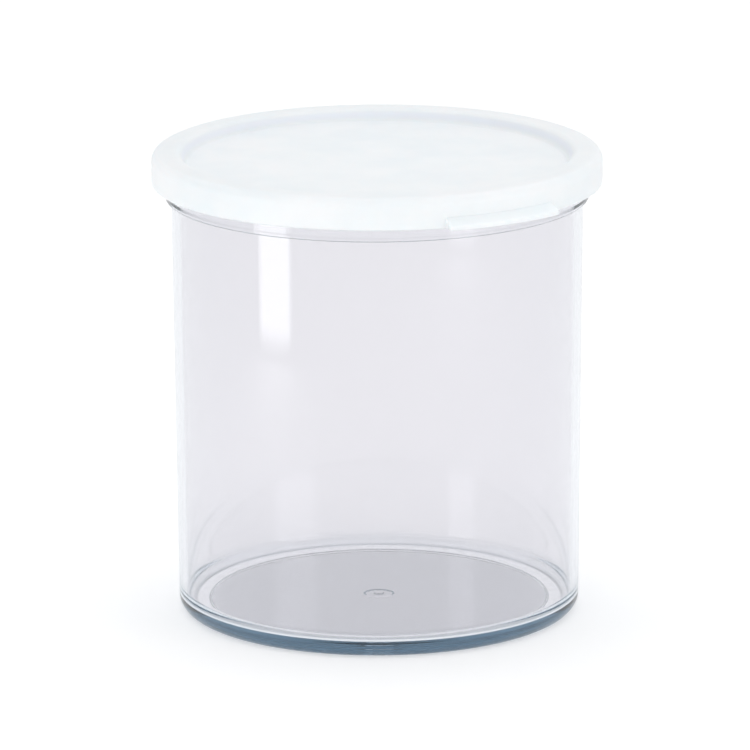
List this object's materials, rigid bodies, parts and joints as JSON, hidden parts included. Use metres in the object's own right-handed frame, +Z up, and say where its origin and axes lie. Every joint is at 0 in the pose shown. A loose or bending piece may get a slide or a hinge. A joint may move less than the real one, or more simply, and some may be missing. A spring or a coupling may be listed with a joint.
{
  "type": "food storage container",
  "caption": "Round clear food storage container with a slightly tapered wall, foot ring and rim bead, closed by a soft lid that has a snap ridge, a plug ring and a lift tab.",
  "frame": {"origin": "centre of the foot ring, on the surface that the container stands on", "axes": "+Z up along the container's axis, -Y to the front; the lid's lift tab is towards +X and -Y"},
  "size_m": [0.164, 0.1644, 0.1712],
  "materials": {
    "clear_plastic": "clear, glossy moulded polycarbonate",
    "lid_plastic": "white, slightly translucent soft polyethylene with a satin surface"
  },
  "bodies": {
    "container": {"container": "clear_plastic"},
    "lid": {"lid": "lid_plastic"}
  },
  "joints": [
    {"name": "lid_lift", "type": "slide", "parent": "container", "child": "lid", "axis": [0, 0, 1], "range_m": [0, 0.06]}
  ]
}
